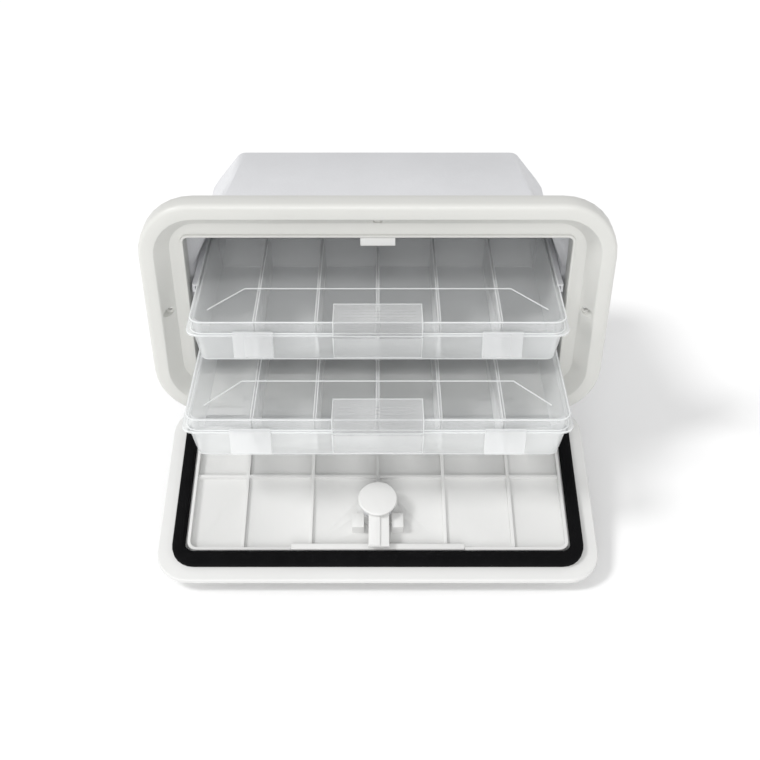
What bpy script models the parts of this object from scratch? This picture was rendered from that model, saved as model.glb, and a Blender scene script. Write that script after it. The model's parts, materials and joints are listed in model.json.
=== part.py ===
"""Flush-mount tackle hatch: a bezel frame with a housing behind it, a drop-down
door with a seal and a cam latch, and two lidded tackle trays on side runners.

Metres, +Z up. X runs along the hatch, +Y into the housing, and the plane Y = 0
is the bulkhead face that the frame's flange bears on. The origin is on the
centre line of the hatch, on the flange's lower strip. The door hangs open on
its stop and both trays stand partly out, the lower one further than the upper.
"""

from math import cos, pi, radians, sin

import bmesh
import bpy
from mathutils import Matrix, Vector

MM = 0.001
GAP = 0.3 * MM              # between pieces that rest on each other

# ---- frame -----------------------------------------------------------------
FRAME_W = 450 * MM
FRAME_H = 240 * MM
FRAME_T = 20 * MM           # from the bulkhead face to the front of the bezel
FRAME_R = 54 * MM           # outer corner
BULLNOSE = 4.5 * MM
ORIGIN_UP = 27 * MM         # origin above the frame's lower edge
BAND = 14.5 * MM            # flat front band
SLOPE = 12.5 * MM           # width of the sloped recess wall
LEDGE = 11 * MM             # floor of the recess
LEDGE_T = 4 * MM            # material behind the ledge
LIP_T = 3 * MM              # lip and collar wall
LIP_RISE = 2.5 * MM         # lip above the ledge
COLLAR_L = 14 * MM          # collar behind the bulkhead face
LIP_R = 5 * MM              # opening corner, nearly square
RELIEF_WALL = 3.5 * MM      # outer wall left by the groove in the flange's back
RELIEF_W = 8 * MM
SEAT_IN = 32.5 * MM         # inner edge of the bearing face, from the frame's edge
SEAT_STEP = 0.6 * MM        # inside it, the flange's back steps clear of the bulkhead
MOUNT_HOLE_R = 2.6 * MM
MOUNT_SEAT_R = 4.6 * MM
MOUNT_LOW_X = 55 * MM       # the two lower mounting holes, off the centre line

# ---- housing ---------------------------------------------------------------
WALL = 2.5 * MM
REAR_CLEAR = 2.5 * MM       # behind the trays when they are home
FLOOR_CLEAR = 6.5 * MM      # under the lower tray
ROOF_DROP = 35 * MM         # roof below the frame's top edge
ROOF_HALF_FRONT = 164 * MM  # the roof narrows to a waist behind the upper lid's swing
ROOF_HALF_WAIST = 151 * MM
ROOF_HALF_BACK = 147.5 * MM
WAIST_DEPTH = 112 * MM
ROOF_DEPTH = 172 * MM       # where the roof turns down to the back wall
KNEE_UP = 3 * MM            # side walls begin to lean inwards this far above the upper lid
KNEE_CLEAR = 2 * MM         # behind the waist they lean from just above the runners
COLLAR_CLEAR = 0.3 * MM
JOGGLE_START = 16 * MM
JOGGLE_END = 24 * MM

# ---- trays -----------------------------------------------------------------
TRAY_W = 356 * MM           # over the flange
TRAY_D = 190 * MM           # over the flange, front to back
TRAY_H = 47.5 * MM
TRAY_R = 12 * MM
LID_INSET = 4 * MM          # lid edge inside the flange, at the sides and back
FLANGE_FRONT = 0.8 * MM     # flange ahead of the lid at the front
SKIRT_H = 13.3 * MM
SKIRT_T = 1.6 * MM
FLANGE_T = 2 * MM
TRAY_WALL = 1.6 * MM
TRAY_DRAFT = 5 * MM         # how much narrower the base is at its foot, per side
LID_SIDE_CLEAR = 0.4 * MM
LID_END_CLEAR = 1.6 * MM    # room for the skirt to swing at the hinge
COLUMNS = 6
DIVIDER_T = 1.4 * MM
RIDGE_Y = 58 * MM           # ridge on the lid, from its front edge
UPPER_DROP = 88 * MM        # upper lid below the frame's top edge
LOWER_DROP = 147 * MM
UPPER_OUT = 79 * MM         # lid's front edge ahead of the bulkhead face
LOWER_OUT = 147.5 * MM
TRAY_HOME = 23.5 * MM       # lid's front edge behind the bulkhead face when shut

# tray latches and pull pad
LATCH_X = 115 * MM
LATCH_W = 37 * MM
LATCH_L = 27 * MM           # from its axis down
LATCH_UP = 3.5 * MM         # axis above the lid's lower edge
LATCH_T = 2.1 * MM
PAD_HALF = 41 * MM
PAD_BACK = 29 * MM
PAD_T = 1.2 * MM
PAD_OUT = 3.4 * MM          # pad ahead of the lid's edge
TONGUE_T = 1.8 * MM         # the pad goes on down the tray's sloping front
TONGUE_UP = 5 * MM          # its lower end above the tray's foot
LID_PIN_R = 1.2 * MM
LID_EAR_X = (104 * MM, 112.6 * MM)   # base ear, lid ear
LID_EAR_W = 8 * MM

# runners
RUNNER_FRONT = 4 * MM
RUNNER_LIP = 6.8 * MM       # how far the runner's lips reach under the flange
RUNNER_WEB = 2.5 * MM
RUNNER_RAIL = 3 * MM
RUNNER_ROOM = 1.1 * MM      # above the flange
RUNNER_CLEAR = 1.2 * MM     # beside the flange
RUNNER_SHORT = 6 * MM       # runner ends ahead of the lid's back edge, tray home

# ---- door ------------------------------------------------------------------
OPEN_ANGLE = radians(105.4)  # from shut to the open stop
PIVOT_UP = 12 * MM          # pivot above the frame's lower edge
PIVOT_BACK = 2.5 * MM       # pivot behind the bezel's front face
DOOR_GAP = 5 * MM           # between the door and the recess, at the front
FREE_GAP = 7.5 * MM         # the same at the door's free side
DOOR_T = 5.5 * MM
DOOR_R = 31 * MM
BORDER = 14.2 * MM          # from the door's edge to the seal
SEAL_W = 11.6 * MM
SEAL_FREE = 2.5 * MM        # the seal is this much wider along the free side
SEAL_R = 21 * MM
RIM_T = 3 * MM
RIM_UP = 4 * MM             # rim above the border
FLOOR_DOWN = 2.8 * MM       # panel floor below the border
RIB_T = 3.2 * MM
RIB_UP = 1 * MM             # ribs above the border
RIB_PITCH = 63.3 * MM
CROSS_RIB = 92 * MM         # cross rib from the pivot
BAR_HALF = 80.5 * MM        # stiffening bar at the free side
BAR_W = 6.9 * MM
HINGE_X = 120 * MM
ARM_W = 34 * MM
NOTCH_SIDE = 1 * MM
KNUCKLE_R = 3.6 * MM
PIN_R = 2 * MM
PIN_HOLD = 8 * MM           # pin inside the frame at each end

# door latch
CAM_AXIS = 129 * MM         # latch axis from the pivot
HUB_R = 18.5 * MM
HUB_BOTTOM = 12.5 * MM      # heights from the pivot, into the housing
HUB_TOP = 19.5 * MM
CAM_HUB_R = 13 * MM         # under the cap
CAP_T = 3 * MM
CAM_LOW = 14 * MM
CAM_HIGH = 18.5 * MM
CAM_REACH = 48.5 * MM
CAM_LEFT = 8.5 * MM
CAM_RIGHT = 10.5 * MM
CAM_RIB_RIGHT = 2 * MM
CAM_RIB_UP = 1.8 * MM
BARREL_R = 11 * MM
BOSS_R = 20 * MM
NUT_AF = 26 * MM
ESCUTCHEON_R = 24 * MM
SPINDLE_HALF = 3.2 * MM
EAR_IN = 13 * MM            # guide blocks either side of the cam arm
EAR_OUT = 24 * MM
EAR_S = (138.5 * MM, 154 * MM)
EAR_TOP = 11 * MM
KEEPER_HALF = 16.5 * MM
KEEPER_CLEAR = 0.5 * MM     # between the keeper and the cam arm's tip
KEEPER_PLATE = 1.8 * MM
KEEPER_BAR_T = 2.4 * MM
KEEPER_BACK = 11 * MM
KEEPER_SCREW_X = 9 * MM
KEEPER_SCREW_Y = 5.5 * MM

# screws that hold the runners and the keeper
SCREW_R = 1.5 * MM
SCREW_HOLE_R = 1.85 * MM
SCREW_HEAD_R = 3 * MM
SCREW_HEAD_T = 1.8 * MM
SCREW_SHY = 0.9 * MM        # screw's tip short of the hole's end
SCREW_FRONT = 40 * MM       # front runner screw, behind the bulkhead face
SCREW_REAR = 18 * MM        # rear runner screw, ahead of the runner's end

# ---- derived ---------------------------------------------------------------
BOTTOM = -ORIGIN_UP
TOP = BOTTOM + FRAME_H
EDGE = BAND + SLOPE + LEDGE             # frame's edge to the lip
OPEN_HALF = FRAME_W / 2 - EDGE - LIP_T
OPEN_LOW = BOTTOM + EDGE + LIP_T
OPEN_HIGH = TOP - EDGE - LIP_T
LIP_Y = -LEDGE_T - LIP_RISE
PIVOT_Y = -FRAME_T + PIVOT_BACK
PIVOT_Z = BOTTOM + PIVOT_UP
FACE_N = -PIVOT_BACK                    # door heights, from the pivot's plane
BORDER_N = FACE_N + DOOR_T
FLOOR_N = BORDER_N - FLOOR_DOWN
SEAL_TOP = LIP_Y - PIVOT_Y - GAP
DOOR_HALF = FRAME_W / 2 - BAND - DOOR_GAP
DOOR_LOW = BAND + DOOR_GAP - PIVOT_UP
DOOR_HIGH = FRAME_H - BAND - FREE_GAP - PIVOT_UP
RIM_INSET = BORDER + SEAL_W + 1.6 * MM
TRAY_HALF = TRAY_W / 2
LID_HALF = TRAY_HALF - LID_INSET
LID_D = TRAY_D - LID_INSET - FLANGE_FRONT
RUNNER_OUT = TRAY_HALF + RUNNER_CLEAR + RUNNER_WEB
BODY_HALF = RUNNER_OUT + GAP + WALL     # housing's outer half width
BODY_DEPTH = TRAY_HOME + TRAY_D + REAR_CLEAR + WALL
LID_PIN_Y = LID_D + LID_INSET * 0.55
LID_PIN_Z = -SKIRT_H * 0.7
RIDGE_HALF = LID_HALF - 47 * MM
RIDGE_END = (LID_HALF - 16 * MM, RIDGE_Y - 37 * MM)
RUNNER_REACH = WALL + GAP + RUNNER_WEB - SCREW_SHY
RUNNER_BACK = TRAY_HOME + LID_D - RUNNER_SHORT
RUNNER_SCREW_Y = (SCREW_FRONT, RUNNER_BACK - SCREW_REAR)
KEEPER_REACH = KEEPER_PLATE + GAP + LIP_T - 0.8 * MM


# ---- materials -------------------------------------------------------------
def material(name, colour, roughness, metallic=0.0, alpha=1.0):
    """A Principled material."""
    made = bpy.data.materials.new(name)
    made.use_nodes = True
    shader = made.node_tree.nodes["Principled BSDF"]
    shader.inputs["Base Color"].default_value = (*colour, 1.0)
    shader.inputs["Roughness"].default_value = roughness
    shader.inputs["Metallic"].default_value = metallic
    shader.inputs["Alpha"].default_value = alpha
    return made


# ---- mesh helpers ----------------------------------------------------------
def add_object(name, verts, faces, look, parent=None):
    """One object from vertices and faces, with its faces turned outwards."""
    mesh = bpy.data.meshes.new(name)
    mesh.from_pydata([tuple(v) for v in verts], [], faces)
    work = bmesh.new()
    work.from_mesh(mesh)
    bmesh.ops.recalc_face_normals(work, faces=work.faces)
    work.to_mesh(mesh)
    work.free()
    mesh.materials.append(look)
    made = bpy.data.objects.new(name, mesh)
    bpy.context.collection.objects.link(made)
    if parent:
        made.parent = parent
    return made


def rounded_outline(x0, x1, z0, z1, radius, steps=6):
    """Points of a rounded rectangle, the same number whatever its size."""
    centres = (
        (x1 - radius, z1 - radius, 0.0),
        (x0 + radius, z1 - radius, pi / 2),
        (x0 + radius, z0 + radius, pi),
        (x1 - radius, z0 + radius, 3 * pi / 2),
    )
    points = []
    for cx, cz, start in centres:
        for k in range(steps + 1):
            a = start + pi / 2 * k / steps
            points.append((cx + radius * cos(a), cz + radius * sin(a)))
    return points


def loft(name, rings, look, parent=None, closed=False):
    """A skin through rings of points, capped at both ends unless it closes."""
    count = len(rings[0])
    verts = [v for ring in rings for v in ring]
    faces = []
    spans = len(rings) if closed else len(rings) - 1
    for i in range(spans):
        a, b = i * count, (i + 1) % len(rings) * count
        for k in range(count):
            n = (k + 1) % count
            faces.append((a + k, a + n, b + n, b + k))
    if not closed:
        faces.append(tuple(range(count)))
        faces.append(tuple((len(rings) - 1) * count + k for k in range(count)))
    return add_object(name, verts, faces, look, parent)


def block(name, low, high, look=None, parent=None):
    """A box between two corners."""
    (x0, y0, z0), (x1, y1, z1) = low, high
    rings = [
        [(x0, y0, z), (x1, y0, z), (x1, y1, z), (x0, y1, z)] for z in (z0, z1)
    ]
    return loft(name, rings, look or PLAIN, parent)


def turned(name, profile, centre, axis, look=None, parent=None, sides=24, start=0.0):
    """A turned solid: (radius, height) pairs along an axis X, Y or Z."""
    place = {
        "X": lambda u, v, h: (h, u, v),
        "Y": lambda u, v, h: (u, h, v),
        "Z": lambda u, v, h: (u, v, h),
    }[axis]
    base = Vector(centre)
    rings = []
    for radius, height in profile:
        ring = []
        for k in range(sides):
            a = start + 2 * pi * k / sides
            ring.append(base + Vector(place(radius * cos(a), radius * sin(a), height)))
        rings.append(ring)
    return loft(name, rings, look or PLAIN, parent)


def extruded(name, outline, x0, x1, look, parent=None):
    """A (y, z) outline carried along X."""
    rings = [[(x, y, z) for y, z in outline] for x in (x0, x1)]
    return loft(name, rings, look, parent)


def combine(target, tools, operation):
    """Applies Boolean tools to an object in its own frame and removes them."""
    holder = target.parent
    target.parent = None
    for tool in tools:
        tool.parent = None
        step = target.modifiers.new(operation.lower(), "BOOLEAN")
        step.operation = operation
        step.solver = "EXACT"
        step.object = tool
        bpy.context.view_layer.update()
        shaped = bpy.data.meshes.new_from_object(
            target.evaluated_get(bpy.context.evaluated_depsgraph_get())
        )
        target.modifiers.remove(step)
        look = target.data.materials[0]
        target.data = shaped
        target.data.name = target.name
        target.data.materials.clear()
        target.data.materials.append(look)
        for face in target.data.polygons:
            face.material_index = 0
        bpy.data.objects.remove(tool)
    target.parent = holder
    return target


def smooth(target, angle=35):
    """Shades round faces smooth and keeps the edges crisp."""
    target.data.shade_smooth()
    target.data.set_sharp_from_angle(angle=radians(angle))
    return target


# ---- frame and housing -----------------------------------------------------
def frame_ring(inset, y, radius):
    """The frame's outline, inset from its outer edge, at one depth."""
    half = FRAME_W / 2 - inset
    outline = rounded_outline(-half, half, BOTTOM + inset, TOP - inset, radius, 8)
    return [(x, y, z) for x, z in outline]


def mount_places():
    """Centres of the mounting holes, on the sloped wall of the recess."""
    inset = BAND + SLOPE / 2
    side = FRAME_W / 2 - inset
    middle = (TOP + BOTTOM) / 2
    return [
        (0, TOP - inset),
        (-side, middle),
        (side, middle),
        (-MOUNT_LOW_X, BOTTOM + inset),
        (MOUNT_LOW_X, BOTTOM + inset),
    ]


def collar_screw_places():
    """Where the screws through the housing into the collar stand, and which way."""
    half = OPEN_HALF + LIP_T + COLLAR_CLEAR + WALL
    high = OPEN_HIGH + LIP_T + COLLAR_CLEAR + WALL
    low = OPEN_LOW - LIP_T - COLLAR_CLEAR - WALL
    middle = (OPEN_LOW + OPEN_HIGH) / 2
    y = (COLLAR_L + GAP) / 2 + 1 * MM
    return [
        ("top_left", (-OPEN_HALF / 2, y, high), Vector((0, 0, 1))),
        ("top_right", (OPEN_HALF / 2, y, high), Vector((0, 0, 1))),
        ("bottom_left", (-OPEN_HALF / 2, y, low), Vector((0, 0, -1))),
        ("bottom_right", (OPEN_HALF / 2, y, low), Vector((0, 0, -1))),
        ("left", (-half, y, middle), Vector((-1, 0, 0))),
        ("right", (half, y, middle), Vector((1, 0, 0))),
    ]


def along(direction):
    """The axis letter and the sign of a unit direction."""
    for letter, value in zip("XYZ", direction):
        if abs(value) > 0.5:
            return letter, 1 if value > 0 else -1


def screw(name, seat, direction, reach, parent=None):
    """A pan-head screw: its head on a seat and its shank going in."""
    axis, sign = along(direction)
    profile = [
        (SCREW_R * 0.6, -reach * sign),
        (SCREW_R, (-reach + SCREW_R * 0.6) * sign),
        (SCREW_R, GAP * sign),
        (SCREW_HEAD_R, GAP * sign),
        (SCREW_HEAD_R, (GAP + SCREW_HEAD_T * 0.5) * sign),
        (SCREW_HEAD_R * 0.6, (GAP + SCREW_HEAD_T) * sign),
    ]
    made = turned(name, profile, seat, axis, STEEL, parent, sides=12)
    return smooth(made)


def screw_hole(seat, direction, reach):
    """A cutter for a screw's hole, open on the head's side."""
    axis, sign = along(direction)
    profile = [(SCREW_HOLE_R, -(reach + 0.5 * MM) * sign), (SCREW_HOLE_R, 4 * MM * sign)]
    return turned("hole", profile, seat, axis, sides=12)


def make_frame():
    """Bezel, recess, ledge, lip and collar as one closed ring."""
    nose = [
        (BULLNOSE - BULLNOSE * cos(a), -FRAME_T + BULLNOSE - BULLNOSE * sin(a))
        for a in (pi / 2 * k / 5 for k in range(6))
    ]
    ledge_in = BAND + SLOPE
    relief_out = RELIEF_WALL + RELIEF_W
    relief_y = -FRAME_T + RELIEF_WALL
    slope_r = FRAME_R - BAND
    ledge_r = slope_r - SLOPE
    rings = [frame_ring(0, 0, FRAME_R)]
    rings += [frame_ring(o, y, FRAME_R - o) for o, y in nose]
    rings += [
        frame_ring(BAND, -FRAME_T, slope_r),
        frame_ring(BAND + 1 * MM, -FRAME_T + 0.8 * MM, slope_r - 1 * MM),
        frame_ring(ledge_in, -LEDGE_T, ledge_r),
        frame_ring(EDGE, -LEDGE_T, LIP_R + LIP_T),
        frame_ring(EDGE + 0.6 * MM, LIP_Y, LIP_R + LIP_T - 0.6 * MM),
        frame_ring(EDGE + LIP_T - 0.6 * MM, LIP_Y, LIP_R + 0.6 * MM),
        frame_ring(EDGE + LIP_T, LIP_Y + 0.6 * MM, LIP_R),
        frame_ring(EDGE + LIP_T, COLLAR_L, LIP_R),
        frame_ring(EDGE, COLLAR_L, LIP_R + LIP_T),
        frame_ring(EDGE, -SEAT_STEP, LIP_R + LIP_T),
        frame_ring(SEAT_IN, -SEAT_STEP, LIP_R + LIP_T + EDGE - SEAT_IN),
        frame_ring(SEAT_IN, 0, LIP_R + LIP_T + EDGE - SEAT_IN),
        frame_ring(relief_out + RELIEF_WALL, 0, FRAME_R - relief_out - RELIEF_WALL),
        frame_ring(relief_out, relief_y, FRAME_R - relief_out),
        frame_ring(RELIEF_WALL + 1 * MM, relief_y, FRAME_R - RELIEF_WALL - 1 * MM),
        frame_ring(RELIEF_WALL, 0, FRAME_R - RELIEF_WALL),
    ]
    frame = loft("frame", rings, WHITE, closed=True)

    blocks = []
    notches = []
    for side in (-1, 1):
        x = side * HINGE_X
        half = ARM_W / 2 + NOTCH_SIDE
        outer = half + PIN_HOLD + 4 * MM
        blocks.append(
            block(
                "hinge_block",
                (x - outer, relief_y - 1 * MM, BOTTOM + RELIEF_WALL - 1 * MM),
                (x + outer, -GAP, BOTTOM + relief_out + RELIEF_WALL),
            )
        )
        low = PIVOT_Z - KNUCKLE_R - 0.4 * MM
        high = BOTTOM + BAND + SLOPE * 0.75
        deep = PIVOT_Y + KNUCKLE_R + 0.8 * MM
        notches.append(
            block("notch", (x - half, -FRAME_T - 5 * MM, low), (x + half, deep, high))
        )
        bore = half + PIN_HOLD + GAP
        profile = [(PIN_R + GAP, x - bore), (PIN_R + GAP, x + bore)]
        centre = (0, PIVOT_Y, PIVOT_Z)
        notches.append(turned("bore", profile, centre, "X", sides=16, start=pi / 16))
    combine(frame, blocks, "UNION")

    holes = []
    for x, z in mount_places():
        through = [(MOUNT_HOLE_R, -FRAME_T - 5 * MM), (MOUNT_HOLE_R, 5 * MM)]
        seat = [(MOUNT_SEAT_R, -FRAME_T - 5 * MM), (MOUNT_SEAT_R, -LEDGE_T - 1 * MM)]
        holes.append(turned("through", through, (x, 0, z), "Y", sides=16))
        holes.append(turned("seat", seat, (x, 0, z), "Y", sides=16))
    for _, seat, direction in collar_screw_places():
        holes.append(screw_hole(seat, direction, WALL + COLLAR_CLEAR + LIP_T - 0.8 * MM))
    for x in (-KEEPER_SCREW_X, KEEPER_SCREW_X):
        seat = (x, KEEPER_SCREW_Y, OPEN_HIGH - GAP - KEEPER_PLATE)
        holes.append(screw_hole(seat, Vector((0, 0, -1)), KEEPER_REACH))
    combine(frame, notches + holes, "DIFFERENCE")
    return smooth(frame)


def body_section(y, half, top_half, top, knee, floor, radius):
    """The housing's outline at one depth: four rounded corners and two tighter knees."""
    corners = [
        (half, floor), (half, knee), (top_half, top),
        (-top_half, top), (-half, knee), (-half, floor),
    ]
    points = []
    count = len(corners)
    for i, corner in enumerate(corners):
        here = Vector(corner)
        before = (Vector(corners[i - 1]) - here).normalized()
        after = (Vector(corners[(i + 1) % count]) - here).normalized()
        room = min(
            (Vector(corners[i - 1]) - here).length,
            (Vector(corners[(i + 1) % count]) - here).length,
        )
        cut = min(radius * (0.3 if i in (1, 4) else 1), room * 0.45)
        start, end = here + before * cut, here + after * cut
        for k in range(5):
            t = k / 4
            bend = start * (1 - t) ** 2 + here * 2 * t * (1 - t) + end * t ** 2
            points.append((bend.x, y, bend.y))
    return points


def make_housing():
    """The box behind the frame: a hollow shell, open at the front."""
    roof, knee = TOP - ROOF_DROP, TOP - UPPER_DROP + KNEE_UP
    floor = TOP - LOWER_DROP - TRAY_H - FLOOR_CLEAR - WALL
    front_half = OPEN_HALF + LIP_T + COLLAR_CLEAR + WALL
    front_top = OPEN_HIGH + LIP_T + COLLAR_CLEAR + WALL
    front_low = OPEN_LOW - LIP_T - COLLAR_CLEAR - WALL
    knee_back = runner_top(UPPER_DROP) + KNEE_CLEAR
    back = BODY_DEPTH

    def rings(t):
        """The shell's outer rings moved inwards by a thickness."""
        front = (front_half - t, front_half - t, front_top - t, knee, front_low + t, 11 * MM - t)
        narrow = ROOF_HALF_FRONT - t * 1.3
        return [
            body_section(GAP - SEAT_STEP, *front),
            body_section(JOGGLE_START, *front),
            body_section(
                JOGGLE_END, BODY_HALF - t, narrow, roof - t, knee - t, floor + t, 7 * MM - t
            ),
            body_section(
                WAIST_DEPTH, BODY_HALF - t, ROOF_HALF_WAIST - t * 1.3,
                roof - t - 1 * MM, knee_back - t * 0.3, floor + t, 7 * MM - t,
            ),
            body_section(
                ROOF_DEPTH - t, BODY_HALF - t, ROOF_HALF_BACK - t * 1.3,
                roof - t - 1.5 * MM, knee_back - t * 0.3, floor + t, 7 * MM - t,
            ),
            body_section(
                back - 12 * MM - t * 0.6, BODY_HALF - t, BODY_HALF - 12 * MM - t,
                knee + 7 * MM - t, knee_back - t * 0.3, floor + t, 9 * MM - t,
            ),
            body_section(
                back - 4 * MM - t * 0.8, BODY_HALF - 3 * MM - t, BODY_HALF - 16 * MM - t,
                knee - 1 * MM - t, knee_back - 3 * MM - t, floor + 2 * MM + t, 9 * MM - t,
            ),
            body_section(
                back - t, BODY_HALF - 11 * MM - t, BODY_HALF - 26 * MM - t,
                knee - 9 * MM - t, knee_back - 8 * MM - t, floor + 9 * MM + t, 9 * MM - t,
            ),
        ]

    shell = list(reversed(rings(WALL))) + rings(0)
    housing = loft("housing", shell, SHELL)
    holes = [
        screw_hole(seat, direction, WALL + COLLAR_CLEAR + 2 * MM)
        for _, seat, direction in collar_screw_places()
    ]
    holes += [
        screw_hole(seat, direction, WALL + 1 * MM)
        for _, seat, direction in runner_screw_places()
    ]
    combine(housing, holes, "DIFFERENCE")
    return smooth(housing, 25)


# ---- runners ---------------------------------------------------------------
def flange_z(drop):
    """Underside of a tray's flange."""
    return TOP - drop - SKIRT_H - GAP - FLANGE_T


def runner_top(drop):
    """Upper edge of a tray's runners."""
    return flange_z(drop) + FLANGE_T + RUNNER_ROOM + RUNNER_RAIL * 0.8


def runner_screw_places():
    """Screws through the housing's sides into the runners' webs."""
    places = []
    for tray, drop in (("upper", UPPER_DROP), ("lower", LOWER_DROP)):
        for side, sign in (("left", -1), ("right", 1)):
            for end, y in zip(("front", "rear"), RUNNER_SCREW_Y):
                seat = (sign * BODY_HALF, y, flange_z(drop) + FLANGE_T / 2)
                places.append((f"{tray}_{side}_{end}", seat, Vector((sign, 0, 0))))
    return places


def make_runner(tray, drop, side, sign):
    """A channel that a tray's flange slides in."""
    low = flange_z(drop) - GAP
    high = flange_z(drop) + FLANGE_T + RUNNER_ROOM
    inner = RUNNER_OUT - RUNNER_WEB
    tip = RUNNER_OUT - RUNNER_LIP
    outline = [
        (RUNNER_OUT, low - RUNNER_RAIL), (RUNNER_OUT, runner_top(drop)),
        (tip, runner_top(drop)), (tip, high),
        (inner, high), (inner, low), (tip, low), (tip, low - RUNNER_RAIL),
    ]
    rings = [
        [(sign * x, y, z) for x, z in outline] for y in (RUNNER_FRONT, RUNNER_BACK)
    ]
    name = f"{tray}_{side}_runner"
    runner = loft(name, rings, SHELL)
    holes = [
        screw_hole(seat, direction, RUNNER_REACH)
        for place, seat, direction in runner_screw_places()
        if place.startswith(f"{tray}_{side}")
    ]
    return combine(runner, holes, "DIFFERENCE")


# ---- keeper ----------------------------------------------------------------
def make_keeper():
    """The striker under the opening's top edge, and its two screws."""
    top = OPEN_HIGH - GAP
    front = LIP_Y + GAP
    low = PIVOT_Z + CAM_AXIS + CAM_REACH + KEEPER_CLEAR
    outline = [
        (front, top), (front, low + 1 * MM), (front + 0.8 * MM, low),
        (front + KEEPER_BAR_T, low), (front + KEEPER_BAR_T, top - KEEPER_PLATE),
        (KEEPER_BACK, top - KEEPER_PLATE), (KEEPER_BACK, top),
    ]
    keeper = extruded("keeper", outline, -KEEPER_HALF, KEEPER_HALF, WHITE)
    holes = []
    for side, x in (("left", -KEEPER_SCREW_X), ("right", KEEPER_SCREW_X)):
        seat = (x, KEEPER_SCREW_Y, top - KEEPER_PLATE)
        holes.append(screw_hole(seat, Vector((0, 0, -1)), KEEPER_REACH))
        screw(f"keeper_screw_{side}", seat, Vector((0, 0, -1)), KEEPER_REACH)
    return combine(keeper, holes, "DIFFERENCE")


# ---- door ------------------------------------------------------------------
def door_ring(inset, n, radius, steps=6, free=0.0):
    """The door's outline, inset from its edge, at a height from the pivot."""
    half = DOOR_HALF - inset
    high = DOOR_HIGH - inset - free
    outline = rounded_outline(-half, half, DOOR_LOW + inset, high, radius, steps)
    return [(x, n, s) for x, s in outline]


def make_door(pivot):
    """Door panel with its rim, rib grid, latch boss, guide blocks and hinge arms."""
    rim_top = BORDER_N + RIM_UP
    rim_r = SEAL_R - SEAL_W
    rings = [
        door_ring(1.6 * MM, FACE_N, DOOR_R - 1.6 * MM),
        door_ring(0.4 * MM, FACE_N + 0.5 * MM, DOOR_R - 0.4 * MM),
        door_ring(0, FACE_N + 1.7 * MM, DOOR_R),
        door_ring(0.7 * MM, BORDER_N - 0.6 * MM, DOOR_R - 0.7 * MM),
        door_ring(1.4 * MM, BORDER_N, DOOR_R - 1.4 * MM),
        door_ring(RIM_INSET, BORDER_N, rim_r, free=SEAL_FREE),
        door_ring(RIM_INSET + 0.3 * MM, rim_top, rim_r, free=SEAL_FREE),
        door_ring(RIM_INSET + RIM_T, rim_top, rim_r - 2 * MM, free=SEAL_FREE),
        door_ring(RIM_INSET + RIM_T, FLOOR_N, rim_r - 2 * MM, free=SEAL_FREE),
    ]
    door = loft("door_panel", rings, WHITE, pivot)

    inner_half = DOOR_HALF - RIM_INSET - RIM_T
    rim_low = DOOR_LOW + RIM_INSET + RIM_T
    rim_outer = DOOR_HIGH - RIM_INSET - SEAL_FREE
    rim_high = rim_outer - RIM_T
    sunk = FLOOR_N - 1 * MM
    rib_top = BORDER_N + RIB_UP
    cut = BAR_HALF + 0.5 * MM
    door_cut = block(
        "rim_break",
        (-cut, BORDER_N, rim_high - 1 * MM),
        (cut, rim_top + 1 * MM, rim_outer + 0.5 * MM),
    )
    combine(door, [door_cut], "DIFFERENCE")

    parts = []
    for k in range(-2, 3):
        x = k * RIB_PITCH
        end = rim_high + 1 * MM
        if abs(x) < BAR_HALF:
            end = rim_outer - BAR_W - GAP
        if k == 0:
            end = CAM_AXIS - BOSS_R + 2 * MM
        parts.append(
            block(
                "rib",
                (x - RIB_T / 2, sunk, rim_low - 1 * MM),
                (x + RIB_T / 2, rib_top - 0.1 * MM * abs(k), end),
            )
        )
    parts.append(
        block(
            "cross_rib",
            (-inner_half - 1 * MM, sunk, CROSS_RIB - RIB_T / 2),
            (inner_half + 1 * MM, rib_top - 0.3 * MM, CROSS_RIB + RIB_T / 2),
        )
    )
    boss = [(BOSS_R, sunk), (BOSS_R, rib_top + 0.1 * MM)]
    parts.append(turned("boss", boss, (0, 0, CAM_AXIS), "Y", sides=32))
    for sign in (-1, 1):
        x0, x1 = sorted((sign * EAR_IN, sign * EAR_OUT))
        parts.append(block("ear", (x0, sunk, EAR_S[0]), (x1, EAR_TOP, EAR_S[1])))
        x = sign * HINGE_X
        steps = 12
        outline = [
            (KNUCKLE_R * cos(a), KNUCKLE_R * sin(a))
            for a in (pi + pi * k / steps for k in range(steps + 1))
        ]
        outline += [(BORDER_N - 0.2 * MM, DOOR_LOW + 2.5 * MM), (FACE_N + 0.2 * MM, DOOR_LOW + 2.5 * MM)]
        parts.append(extruded("arm", outline, x - ARM_W / 2, x + ARM_W / 2, PLAIN))
    combine(door, parts, "UNION")

    cuts = []
    reach = [(BARREL_R + GAP, FACE_N - 5 * MM), (BARREL_R + GAP, rib_top + 5 * MM)]
    cuts.append(turned("barrel_hole", reach, (0, 0, CAM_AXIS), "Y", sides=32))
    for sign in (-1, 1):
        x = sign * HINGE_X
        bore = [(PIN_R + GAP, x - ARM_W), (PIN_R + GAP, x + ARM_W)]
        cuts.append(turned("pin_bore", bore, (0, 0, 0), "X", sides=16, start=pi / 16))
    combine(door, cuts, "DIFFERENCE")
    return smooth(door)


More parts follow.
